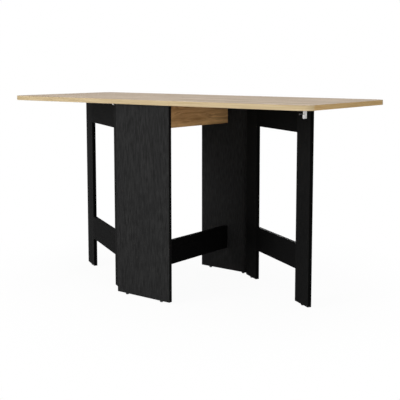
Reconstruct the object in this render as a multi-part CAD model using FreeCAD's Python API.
import FreeCAD, Part
import math
import os

# Butterfly folding table: a narrow fixed centre section carries two hinged leaves, and each
# leaf rests on a gate that swings out from an end panel. Millimetres, +Z up. The origin is on
# the floor under the middle of the top, +X runs along the opened top and +Y to its rear edge.
# The table looks the same after half a turn about Z, so each right-hand piece is built once
# and turned to make the left-hand one.

Vector = FreeCAD.Vector
Placement = FreeCAD.Placement
Rotation = FreeCAD.Rotation

X_AXIS = Vector(1, 0, 0)
Y_AXIS = Vector(0, 1, 0)
Z_AXIS = Vector(0, 0, 1)

# ---- Top -------------------------------------------------------------------------------
table_height = 750.0
top_length = 1424.0
top_width = 574.0
top_thickness = 18.0
corner_radius = 45.0
top_arris = 1.5             # rounding of the top's edges
seam_gap = 0.6              # between the centre top and a leaf
centre_overhang = 12.0      # centre top beyond the end panels, along X
end_overhang = 12.0         # centre top beyond the end panels, along Y

# ---- Fixed frame -----------------------------------------------------------------------
panel_width = 260.0
board_thickness = 15.0
board_arris = 1.0
floor_gap = 6.0             # boards stand this far off the floor, on their glides
apron_width = 96.0
stretcher_width = 96.0
stretcher_height = 101.0

# ---- Gates -----------------------------------------------------------------------------
gate_angle = 30.0           # between an opened gate and the X axis
axis_inset = 3.0            # gate pivot inside the end panel's edge
gate_end_gap = 3.2          # folded gate to the opposite end panel
gate_top_gap = 0.4          # stile tops to the underside of the top
hinge_stile_width = 91.0
outer_stile_width = 96.0
top_rail_width = 91.0
top_rail_drop = 7.0         # top rail below the underside of the top, to pass the seam hinges
low_rail_width = 96.0
low_rail_height = 128.0

# ---- Hinges ----------------------------------------------------------------------------
hinge_length = 50.0
hinge_reach = 22.0          # pin axis to the free edge of a hinge leaf
hinge_thickness = 1.2
hinge_corner = 3.0
knuckle_radius = 2.5
knuckle_standoff = 2.8      # pin axis to the face that the hinge is screwed to
knuckle_gap = 0.3           # end play between neighbouring knuckles
pin_radius = 1.4
pin_fit = 0.05              # radial play of a pin in its knuckles
hinge_screw_reach = 14.5    # pin axis to the screws
hinge_screw_spacing = 30.0
seam_hinge_spacing = 120.0
seam_hinge_count = 3
gate_hinge_heights = (165.0, 595.0)

# ---- Wood screws -----------------------------------------------------------------------
screw_head_radius = 2.8
screw_shank_radius = 1.5
screw_length = 12.0
screw_tip = 2.5

# ---- Frame fittings --------------------------------------------------------------------
dowel_radius = 4.0
dowel_chamfer = 1.0
dowel_length = 25.0
dowel_in_panel = 10.0
strip_dowel_spacing = 60.0
cam_radius = 7.5
cam_depth = 12.5
cam_inset = 24.0            # cam centre from the end of its strip
cam_slot_length = 7.5
cam_slot_width = 1.6
cam_slot_depth = 2.0
cam_bolt_radius = 3.0
cam_bolt_neck = 1.8
cam_bolt_head = 3.5
cam_bolt_head_length = 3.0
cam_bolt_clearance = 0.4
cam_thread_radius = 2.5
cam_thread_length = 11.0
bracket_leg = 25.0
bracket_width = 20.0
bracket_thickness = 2.0
bracket_bend = 3.0
bracket_hole_reach = 15.0   # screw centre from the bracket's corner
panel_bracket_spacing = 110.0
apron_bracket_spacing = 240.0

# ---- Gate dowels -----------------------------------------------------------------------
gate_dowel_radius = 3.0
gate_dowel_length = 30.0
gate_dowel_spacing = 52.0

# ---- Glides ----------------------------------------------------------------------------
glide_radius = 6.5
glide_edge = 2.0
glide_nail_radius = 1.25
glide_nail_length = 12.0
panel_glide_inset = 44.0
hinge_glide_inset = 40.0    # from the pivot end of a gate
outer_glide_inset = 50.0    # from the free end of a gate
gate_floor_clearance = 0.3

# ---- Barrel bolts ----------------------------------------------------------------------
bolt_inset = 38.0           # bolt centre from the free end of a gate
bolt_radius = 3.0
bolt_fit = 0.08             # radial play of the bolt in its guides
bolt_chamfer = 1.0
bolt_travel = 8.0           # from the drawn bolt to the bolt at home in its keeper
bolt_top_gap = 0.6          # drawn bolt below the tops of the stiles
bolt_lift_off = 1.2         # guide bore to the back plate
bolt_tail = 3.0             # bolt past its lower guide
bolt_plate_width = 24.0
bolt_plate_height = 44.0
bolt_plate_corner = 2.0
bolt_guide_wall = 1.2
bolt_guide_height = 11.0
bolt_guide_margin = 2.0     # guide to the end of the plate
knob_stem_radius = 2.0
knob_reach = 24.5           # gate face to the end of the knob
knob_head_radius = 3.2
knob_head_length = 4.0
knob_edge = 1.0
knob_height = 16.0          # knob above the lower end of the plate, bolt drawn
bolt_screw_across = 16.5
bolt_screw_along = 33.0

# ---- Keepers and stops -----------------------------------------------------------------
keeper_radius = 6.0
keeper_bore = 4.0
keeper_spare = 2.0          # keeper deeper than the bolt's travel
stop_radius = 4.0
stop_drop = 9.0
stop_edge = 1.0
stop_stem_radius = 2.5
stop_stem_length = 9.0
stop_gap = 0.3              # stop peg to the opened gate
stop_inset = 77.0           # stop peg from the pivot, along the opened gate

# ---- Places worked out from the sizes above --------------------------------------------
underside = table_height - top_thickness
seam_x = panel_width / 2 + centre_overhang
panel_outer = top_width / 2 - end_overhang
panel_inner = panel_outer - board_thickness
pivot_x = panel_width / 2 - axis_inset
pivot_y = panel_inner - knuckle_standoff
gate_length = pivot_y + panel_inner - gate_end_gap
gate_top = underside - gate_top_gap
gate_near = -knuckle_standoff - board_thickness   # gate frame: face that the bolt is on
gate_middle = -knuckle_standoff - board_thickness / 2
top_rail_top = underside - top_rail_drop
apron_low = underside - apron_width
seam_axis_z = underside - knuckle_standoff
bolt_bore_radius = bolt_radius + bolt_fit
bolt_standoff = hinge_thickness + bolt_lift_off + bolt_bore_radius
bolt_station = gate_length - bolt_inset
bolt_offset = gate_near - bolt_standoff
bolt_plate_low = gate_top - bolt_plate_height
keeper_depth = bolt_travel + keeper_spare
seam_hinge_stations = [
    (index - (seam_hinge_count - 1) / 2) * seam_hinge_spacing
    for index in range(seam_hinge_count)
]

# The gate frame has its origin on the pivot at floor level, X along the gate and Y across it
# to the side that leads as the gate opens.
gate_open = Placement(Vector(pivot_x, pivot_y, 0), Rotation(Z_AXIS, -gate_angle))
gate_folded = Placement(Vector(pivot_x, pivot_y, 0), Rotation(Z_AXIS, -90))
half_turn = Placement(Vector(0, 0, 0), Rotation(Z_AXIS, 180))
no_turn = Placement()
sides = {"right": no_turn, "left": half_turn}


# ---- Shape helpers ---------------------------------------------------------------------
def block(x_limits, y_limits, z_limits):
    """A box between three pairs of limits."""
    low = Vector(x_limits[0], y_limits[0], z_limits[0])
    size = Vector(x_limits[1], y_limits[1], z_limits[1]) - low
    return Part.makeBox(size.x, size.y, size.z, low)


def moved(shape, placement):
    """A copy of a shape set down by a placement."""
    copy = shape.copy()
    copy.Placement = placement.multiply(copy.Placement)
    return copy


def all_moved(shapes, placement):
    """Copies of all the shapes, moved by one placement."""
    return [moved(shape, placement) for shape in shapes]


def facing(point, direction):
    """A placement that takes the origin to a point and +Z to a direction."""
    return Placement(point, Rotation(Z_AXIS, direction))


def revolved(points):
    """A solid turned about Z from an outline of (radius, height) corners."""
    corners = [Vector(radius, 0, height) for radius, height in points]
    outline = Part.makePolygon(corners + corners[:1])
    return Part.Face(outline).revolve(Vector(0, 0, 0), Z_AXIS, 360)


def runs_along(edge, axis):
    """Whether an edge is straight from end to end along an axis."""
    direction = edge.Vertexes[-1].Point - edge.Vertexes[0].Point
    return direction.Length > 0 and abs(direction.normalize().dot(axis)) > 0.999


def board(x_limits, y_limits, z_limits, grain):
    """A board whose four long arrises, along its grain, are rounded."""
    blank = block(x_limits, y_limits, z_limits)
    arrises = [edge for edge in blank.Edges if runs_along(edge, grain)]
    return blank.makeFillet(board_arris, arrises)


def drilled(shape, tools):
    """A shape with all the tools cut out of it."""
    return shape.cut(Part.makeCompound(tools))


def save(node, shapes):
    """Write one node: a single solid, or several alike as separate solids."""
    group = shapes if isinstance(shapes, list) else [shapes]
    solids = [solid for shape in group for solid in shape.Solids]
    body = solids[0] if len(solids) == 1 else Part.makeCompound(solids)
    body.exportStep(os.path.join("parts", node + ".step"))
    print(node, len(solids), "solid(s)", round(sum(solid.Volume for solid in solids) / 1000, 2), "cm3")


# ---- Fasteners -------------------------------------------------------------------------
def wood_screw():
    """A countersunk screw: its head is flush with z = 0 and its shank points down -Z."""
    return revolved([
        (0, 0),
        (screw_head_radius, 0),
        (screw_shank_radius, -hinge_thickness),
        (screw_shank_radius, screw_tip - screw_length),
        (0, -screw_length),
    ])


def dowel(radius, length):
    """A dowel with chamfered ends, centred on the origin along Z."""
    pin = Part.makeCylinder(radius, length, Vector(0, 0, -length / 2))
    rims = [edge for edge in pin.Edges if not runs_along(edge, Z_AXIS)]
    return pin.makeChamfer(dowel_chamfer, rims)


def glide(height):
    """A nail-on glide under a board whose lower edge is at z = floor_gap."""
    low = floor_gap - height
    return revolved([
        (0, low),
        (glide_radius - glide_edge, low),
        (glide_radius, low + glide_edge),
        (glide_radius, floor_gap),
        (glide_nail_radius, floor_gap),
        (glide_nail_radius, floor_gap + glide_nail_length - glide_nail_radius),
        (0, floor_gap + glide_nail_length),
    ])


# ---- Hinges ----------------------------------------------------------------------------
# Hinge frame: the pin lies on Z, the leaf reaches along +X and is screwed to a face at
# y = knuckle_standoff.
third = hinge_length / 3
outer_knuckles = [
    (-hinge_length / 2, -third / 2 - knuckle_gap / 2),
    (third / 2 + knuckle_gap / 2, hinge_length / 2),
]
middle_knuckle = [(-third / 2 + knuckle_gap / 2, third / 2 - knuckle_gap / 2)]


def hinge_screws():
    """The two screws of one hinge leaf."""
    face = knuckle_standoff - hinge_thickness
    heights = (-hinge_screw_spacing / 2, hinge_screw_spacing / 2)
    places = [facing(Vector(hinge_screw_reach, face, height), -Y_AXIS) for height in heights]
    return [moved(wood_screw(), place) for place in places]


def hinge_leaf(knuckles):
    """One leaf of a butt hinge with its share of the knuckles."""
    thickness = (knuckle_standoff - hinge_thickness, knuckle_standoff)
    root = knuckle_radius + knuckle_gap
    height = (-hinge_length / 2, hinge_length / 2)
    plate = block((root, hinge_reach), thickness, height)
    free_corners = [
        edge for edge in plate.Edges
        if runs_along(edge, Y_AXIS) and edge.CenterOfMass.x > hinge_reach / 2
    ]
    leaf = plate.makeFillet(hinge_corner, free_corners)
    for low, high in knuckles:
        barrel = Part.makeCylinder(knuckle_radius, high - low, Vector(0, 0, low))
        strap = block((0, root + hinge_corner), thickness, (low, high))
        leaf = leaf.fuse([barrel, strap]).removeSplitter()
    bore = Part.makeCylinder(pin_radius + pin_fit, hinge_length, Vector(0, 0, -hinge_length / 2))
    return drilled(leaf, [bore] + hinge_screws())


def hinge_pin():
    """A plain pin through all the knuckles of a hinge."""
    return Part.makeCylinder(pin_radius, hinge_length, Vector(0, 0, -hinge_length / 2))


def hinge_place(point, reach, seat):
    """The hinge frame at a point, its leaf along reach and its mounting face along seat."""
    return Placement(point, Rotation(reach, seat, reach.cross(seat), "ZXY"))


seam_points = [Vector(seam_x, station, seam_axis_z) for station in seam_hinge_stations]
seam_fixed_places = [hinge_place(point, -X_AXIS, Z_AXIS) for point in seam_points]
seam_moving_places = [hinge_place(point, X_AXIS, Z_AXIS) for point in seam_points]
gate_fixed_places = [
    hinge_place(Vector(pivot_x, pivot_y, height), -X_AXIS, Y_AXIS) for height in gate_hinge_heights
]
gate_moving_places = [
    hinge_place(Vector(0, 0, height), X_AXIS, -Y_AXIS) for height in gate_hinge_heights
]


def at_each(shapes, places):
    """Copies of every shape at every place."""
    return [moved(shape, place) for place in places for shape in shapes]


# ---- Frame fittings --------------------------------------------------------------------
def cam_bolt():
    """A cam bolt along +Z: its thread is in the panel, z < 0, and its head in the cam."""
    head_low = cam_inset - cam_bolt_head_length / 2
    head_high = cam_inset + cam_bolt_head_length / 2
    neck_low = head_low - cam_bolt_head_length
    return revolved([
        (0, -cam_thread_length),
        (cam_thread_radius, -cam_thread_length),
        (cam_thread_radius, 0),
        (cam_bolt_radius, 0),
        (cam_bolt_radius, neck_low),
        (cam_bolt_neck, neck_low),
        (cam_bolt_neck, head_low),
        (cam_bolt_head, head_low),
        (cam_bolt_head, head_high),
        (0, head_high),
    ])


def cam_bolt_bore():
    """The bore from the end of a strip to the centre of its cam."""
    depth = cam_inset + cam_bolt_head_length
    return Part.makeCylinder(cam_bolt_head + cam_bolt_clearance, depth)


def cam_lock():
    """A cam with its face at z = 0, open along -X towards the bolt."""
    body = Part.makeCylinder(cam_radius, cam_depth, Vector(0, 0, -cam_depth))
    mouth = Part.makeCylinder(
        cam_bolt_head + cam_bolt_clearance,
        cam_radius + cam_bolt_head_length,
        Vector(-cam_radius, 0, -board_thickness / 2),
        X_AXIS,
    )
    slot = block(
        (-cam_slot_length / 2, cam_slot_length / 2),
        (-cam_slot_width / 2, cam_slot_width / 2),
        (-cam_slot_depth, 0),
    )
    cross = moved(slot, Placement(Vector(0, 0, 0), Rotation(Z_AXIS, 90)))
    return drilled(body, [mouth, slot, cross])


def strip_fittings(middle_height):
    """The dowels, cam bolt and cam that join one end of a strip to the rear panel."""
    rear_end = Vector(0, panel_inner, middle_height)
    dowel_middle = panel_inner + dowel_in_panel - dowel_length / 2
    dowels = [
        moved(
            dowel(dowel_radius, dowel_length),
            facing(Vector(0, dowel_middle, middle_height + lift), Y_AXIS),
        )
        for lift in (-strip_dowel_spacing / 2, strip_dowel_spacing / 2)
    ]
    bolt = moved(cam_bolt(), facing(rear_end, -Y_AXIS))
    cam_point = Vector(-board_thickness / 2, panel_inner - cam_inset, middle_height)
    mouth_to_panel = Placement(Vector(0, 0, 0), Rotation(Z_AXIS, -90))
    cam = moved(moved(cam_lock(), mouth_to_panel), facing(cam_point, -X_AXIS))
    return dowels, bolt, cam


def strip_holes(middle_height):
    """The round seats of a strip's two cams and the bores of their bolts."""
    seats = [
        Part.makeCylinder(
            cam_radius, cam_depth, Vector(-board_thickness / 2, y, middle_height), X_AXIS
        )
        for y in (cam_inset - panel_inner, panel_inner - cam_inset)
    ]
    bores = [
        moved(cam_bolt_bore(), facing(Vector(0, end, middle_height), inwards))
        for end, inwards in ((panel_inner, -Y_AXIS), (-panel_inner, Y_AXIS))
    ]
    return seats + bores


def corner_bracket():
    """An angle bracket: one leg on a wall at x = 0, the other under a ceiling at z = 0."""
    section = [
        (0, 0),
        (bracket_leg, 0),
        (bracket_leg, -bracket_thickness),
        (bracket_thickness, -bracket_thickness),
        (bracket_thickness, -bracket_leg),
        (0, -bracket_leg),
    ]
    corners = [Vector(x, -bracket_width / 2, z) for x, z in section]
    angle = Part.Face(Part.makePolygon(corners + corners[:1])).extrude(Y_AXIS * bracket_width)
    crook = Vector(bracket_thickness, 0, -bracket_thickness)
    inner = [
        edge for edge in angle.Edges
        if (edge.CenterOfMass - crook).Length < bracket_thickness / 2
    ]
    return drilled(angle.makeFillet(bracket_bend, inner), bracket_screws())


def bracket_screws():
    """One screw into the wall and one up into the ceiling."""
    wall_screw = facing(Vector(bracket_thickness, 0, -bracket_hole_reach), X_AXIS)
    top_screw = facing(Vector(bracket_hole_reach, 0, -bracket_thickness), -Z_AXIS)
    return [moved(wood_screw(), wall_screw), moved(wood_screw(), top_screw)]


def bracket_places():
    """Brackets inside both end panels and on the apron's -X face."""
    half_panel = panel_bracket_spacing / 2
    half_apron = apron_bracket_spacing / 2
    rear = [
        Placement(Vector(x, panel_inner, underside), Rotation(Z_AXIS, -90))
        for x in (-half_panel, half_panel)
    ]
    front = [half_turn.multiply(place) for place in rear]
    apron = [
        Placement(Vector(-board_thickness / 2, y, underside), Rotation(Z_AXIS, 180))
        for y in (-half_apron, half_apron)
    ]
    return rear + front + apron


# ---- Keepers, stops and bolts ----------------------------------------------------------
def keeper():
    """A sleeve let into the underside of the top, mouth at z = 0."""
    sleeve = Part.makeCylinder(keeper_radius, keeper_depth)
    return sleeve.cut(Part.makeCylinder(keeper_bore, keeper_depth))


def keeper_hole():
    """The hole that a keeper fills."""
    return Part.makeCylinder(keeper_radius, keeper_depth)


def stop_peg():
    """The peg that ends a gate's swing, hanging from z = 0 with its stem above."""
    return revolved([
        (0, -stop_drop),
        (stop_radius - stop_edge, -stop_drop),
        (stop_radius, stop_edge - stop_drop),
        (stop_radius, 0),
        (stop_stem_radius, 0),
        (stop_stem_radius, stop_stem_length),
        (0, stop_stem_length),
    ])


def bolt_plate_screws():
    """Four screws through the corners of a bolt's back plate, in the gate frame."""
    face = gate_near - hinge_thickness
    middle = bolt_plate_low + bolt_plate_height / 2
    return [
        moved(
            wood_screw(),
            facing(Vector(bolt_station + across, face, middle + along), -Y_AXIS),
        )
        for across in (-bolt_screw_across / 2, bolt_screw_across / 2)
        for along in (-bolt_screw_along / 2, bolt_screw_along / 2)
    ]


def bolt_guide(low):
    """One guide of a barrel bolt: a round band over the bolt, standing on the back plate."""
    outer = bolt_bore_radius + bolt_guide_wall
    band = Part.makeCylinder(outer, bolt_guide_height, Vector(bolt_station, bolt_offset, low))
    foot = block(
        (bolt_station - outer, bolt_station + outer),
        (bolt_offset, gate_near - hinge_thickness / 2),
        (low, low + bolt_guide_height),
    )
    return [band, foot]


def bolt_plate():
    """The back plate of a barrel bolt with its two guides."""
    plate = block(
        (bolt_station - bolt_plate_width / 2, bolt_station + bolt_plate_width / 2),
        (gate_near - hinge_thickness, gate_near),
        (bolt_plate_low, gate_top),
    )
    corners = [edge for edge in plate.Edges if runs_along(edge, Y_AXIS)]
    plate = plate.makeFillet(bolt_plate_corner, corners)
    lower = bolt_guide(bolt_plate_low + bolt_guide_margin)
    upper = bolt_guide(gate_top - bolt_guide_margin - bolt_guide_height)
    body = plate.fuse(lower + upper).removeSplitter()
    bore = Part.makeCylinder(
        bolt_bore_radius,
        bolt_plate_height,
        Vector(bolt_station, bolt_offset, bolt_plate_low),
    )
    return drilled(body, [bore] + bolt_plate_screws())


def bolt_rod():
    """The sliding bolt with its knob, drawn down, in the gate frame."""
    low = bolt_plate_low + bolt_guide_margin - bolt_tail
    high = gate_top - bolt_top_gap
    rod = moved(
        revolved([
            (0, low),
            (bolt_radius, low),
            (bolt_radius, high - bolt_chamfer),
            (bolt_radius - bolt_chamfer, high),
            (0, high),
        ]),
        Placement(Vector(bolt_station, bolt_offset, 0), Rotation()),
    )
    head_start = knob_reach - bolt_standoff - knob_head_length
    knob = revolved([
        (0, 0),
        (knob_stem_radius, 0),
        (knob_stem_radius, head_start),
        (knob_head_radius, head_start + knob_edge),
        (knob_head_radius, head_start + knob_head_length - knob_edge),
        (knob_head_radius - knob_edge, head_start + knob_head_length),
        (0, head_start + knob_head_length),
    ])
    height = bolt_plate_low + knob_height
    knob = moved(knob, facing(Vector(bolt_station, bolt_offset, height), -Y_AXIS))
    return rod.fuse(knob).removeSplitter()


def under_top(gate_place, station, offset):
    """A placement on the top's underside, over a point of the gate."""
    point = gate_place.multVec(Vector(station, offset, 0))
    return Placement(Vector(point.x, point.y, underside), Rotation())


leaf_keeper_place = under_top(gate_open, bolt_station, bolt_offset)
storage_keeper_place = under_top(gate_folded, bolt_station, bolt_offset)
stop_place = under_top(gate_open, stop_inset, stop_radius + stop_gap - knuckle_standoff)


# ---- Fixed centre frame ----------------------------------------------------------------
def build_strips(apron_screws):
    """The apron and the stretcher with the fittings at both ends."""
    strips = {
        "apron": (apron_low, apron_width, apron_screws),
        "stretcher": (stretcher_height, stretcher_width, []),
    }
    dowels = []
    bolts = []
    cams = []
    for name, (low, width, screws) in strips.items():
        middle = low + width / 2
        to_front = Placement(Vector(0, 0, 2 * middle), Rotation(X_AXIS, 180))
        pins, bolt, cam = strip_fittings(middle)
        pins += all_moved(pins, to_front)
        dowels += pins
        bolts += [bolt, moved(bolt, to_front)]
        cams += [cam, moved(cam, to_front)]
        strip = board(
            (-board_thickness / 2, board_thickness / 2),
            (-panel_inner, panel_inner),
            (low, low + width),
            Y_AXIS,
        )
        save(name, drilled(strip, pins + strip_holes(middle) + screws))
    save("frame_dowels", dowels)
    save("cam_bolts", bolts)
    save("cam_locks", cams)
    return dowels, bolts


def build_centre_frame():
    plate_screws = at_each(hinge_screws(), seam_fixed_places)
    gate_screws = at_each(hinge_screws(), gate_fixed_places)
    plate_screws += all_moved(plate_screws, half_turn)
    brackets = at_each([corner_bracket()], bracket_places())
    angle_screws = at_each(bracket_screws(), bracket_places())
    keepers = [moved(keeper(), storage_keeper_place)]
    keepers += all_moved(keepers, half_turn)
    keeper_holes = [moved(keeper_hole(), storage_keeper_place)]
    keeper_holes += all_moved(keeper_holes, half_turn)

    centre = block(
        (seam_gap / 2 - seam_x, seam_x - seam_gap / 2),
        (-top_width / 2, top_width / 2),
        (underside, table_height),
    )
    ends = [edge for edge in centre.Edges if runs_along(edge, X_AXIS)]
    centre = centre.makeFillet(top_arris, ends)
    save("centre_top", drilled(centre, plate_screws + angle_screws + keeper_holes))

    dowels, bolts = build_strips(angle_screws)

    glides = [
        moved(glide(floor_gap), Placement(Vector(x, panel_inner + board_thickness / 2, 0), Rotation()))
        for x in (panel_glide_inset - panel_width / 2, panel_width / 2 - panel_glide_inset)
    ]
    panel = board(
        (-panel_width / 2, panel_width / 2),
        (panel_inner, panel_outer),
        (floor_gap, underside),
        Z_AXIS,
    )
    panel = drilled(panel, dowels + bolts + glides + gate_screws + angle_screws)
    save("rear_panel", panel)
    save("front_panel", moved(panel, half_turn))
    save("panel_glides", glides + all_moved(glides, half_turn))

    save("angle_brackets", brackets)
    save("bracket_screws", angle_screws)
    save("seam_plate_screws", plate_screws)
    save("gate_plate_screws", gate_screws + all_moved(gate_screws, half_turn))
    save("storage_keepers", keepers)
    for side, turn in sides.items():
        seam_plates = at_each([hinge_leaf(outer_knuckles)], seam_fixed_places)
        seam_pins = at_each([hinge_pin()], seam_fixed_places)
        gate_plates = at_each([hinge_leaf(outer_knuckles)], gate_fixed_places)
        gate_pins = at_each([hinge_pin()], gate_fixed_places)
        save(side + "_seam_hinge_plates", all_moved(seam_plates, turn))
        save(side + "_seam_hinge_pins", all_moved(seam_pins, turn))
        save(side + "_gate_hinge_plates", all_moved(gate_plates, turn))
        save(side + "_gate_hinge_pins", all_moved(gate_pins, turn))


# ---- Leaves ----------------------------------------------------------------------------
def leaf_blank():
    """A leaf of the top: square at the seam, its two outer corners rounded."""
    leaf = block(
        (seam_x + seam_gap / 2, top_length / 2),
        (-top_width / 2, top_width / 2),
        (underside, table_height),
    )
    outer = [
        edge for edge in leaf.Edges
        if runs_along(edge, Z_AXIS) and edge.CenterOfMass.x > seam_x + corner_radius
    ]
    leaf = leaf.makeFillet(corner_radius, outer)
    rim = [
        edge for edge in leaf.Edges
        if not runs_along(edge, Z_AXIS) and edge.CenterOfMass.x > seam_x + seam_gap
    ]
    return leaf.makeFillet(top_arris, rim)


def build_leaf(side, turn):
    screws = at_each(hinge_screws(), seam_moving_places)
    flaps = at_each([hinge_leaf(middle_knuckle)], seam_moving_places)
    peg = moved(stop_peg(), stop_place)
    leaf = drilled(leaf_blank(), screws + [peg, moved(keeper_hole(), leaf_keeper_place)])
    save(side + "_leaf_board", moved(leaf, turn))
    save(side + "_seam_hinge_flaps", all_moved(flaps, turn))
    save(side + "_seam_flap_screws", all_moved(screws, turn))
    save(side + "_gate_stop", moved(peg, turn))
    save(side + "_leaf_keeper", moved(moved(keeper(), leaf_keeper_place), turn))


# ---- Gates -----------------------------------------------------------------------------
def rail_dowels(middle_height):
    """Dowels across both ends of a gate rail, in the gate frame."""
    return [
        moved(
            dowel(gate_dowel_radius, gate_dowel_length),
            facing(Vector(station, gate_middle, middle_height + lift), X_AXIS),
        )
        for station in (hinge_stile_width, gate_length - outer_stile_width)
        for lift in (-gate_dowel_spacing / 2, gate_dowel_spacing / 2)
    ]


def build_gate(side, turn):
    place = turn.multiply(gate_open)
    across = (gate_near, -knuckle_standoff)
    rise = (floor_gap, gate_top)
    outer_start = gate_length - outer_stile_width
    top_rail_low = top_rail_top - top_rail_width
    low_rail_top = low_rail_height + low_rail_width
    dowels = rail_dowels((top_rail_low + top_rail_top) / 2)
    dowels += rail_dowels((low_rail_height + low_rail_top) / 2)
    flap_screws = at_each(hinge_screws(), gate_moving_places)
    flaps = at_each([hinge_leaf(middle_knuckle)], gate_moving_places)
    plate_screws = bolt_plate_screws()
    glides = [
        moved(
            glide(floor_gap - gate_floor_clearance),
            Placement(Vector(station, gate_middle, 0), Rotation()),
        )
        for station in (hinge_glide_inset, gate_length - outer_glide_inset)
    ]
    holes = dowels + flap_screws + plate_screws + glides
    boards = {
        "hinge_stile": board((0, hinge_stile_width), across, rise, Z_AXIS),
        "outer_stile": board((outer_start, gate_length), across, rise, Z_AXIS),
        "top_rail": board(
            (hinge_stile_width, outer_start), across, (top_rail_low, top_rail_top), X_AXIS
        ),
        "low_rail": board(
            (hinge_stile_width, outer_start), across, (low_rail_height, low_rail_top), X_AXIS
        ),
    }
    for name, blank in boards.items():
        save(side + "_gate_" + name, moved(drilled(blank, holes), place))
    save(side + "_gate_dowels", all_moved(dowels, place))
    save(side + "_gate_hinge_flaps", all_moved(flaps, place))
    save(side + "_gate_flap_screws", all_moved(flap_screws, place))
    save(side + "_gate_glides", all_moved(glides, place))
    save(side + "_bolt_plate", moved(bolt_plate(), place))
    save(side + "_bolt_screws", all_moved(plate_screws, place))
    save(side + "_bolt_rod", moved(bolt_rod(), place))


os.makedirs("parts", exist_ok=True)
build_centre_frame()
for side, turn in sides.items():
    build_leaf(side, turn)
    build_gate(side, turn)
swing = 90 - gate_angle
leaf_lift = math.degrees(math.asin(seam_gap / (table_height - seam_axis_z)))
print("gate pivot", pivot_x, pivot_y, "swing", swing, "seam axis", seam_x, seam_axis_z)
print("leaf lift to contact", round(leaf_lift, 3), "deg, bolt travel", bolt_travel, "mm")
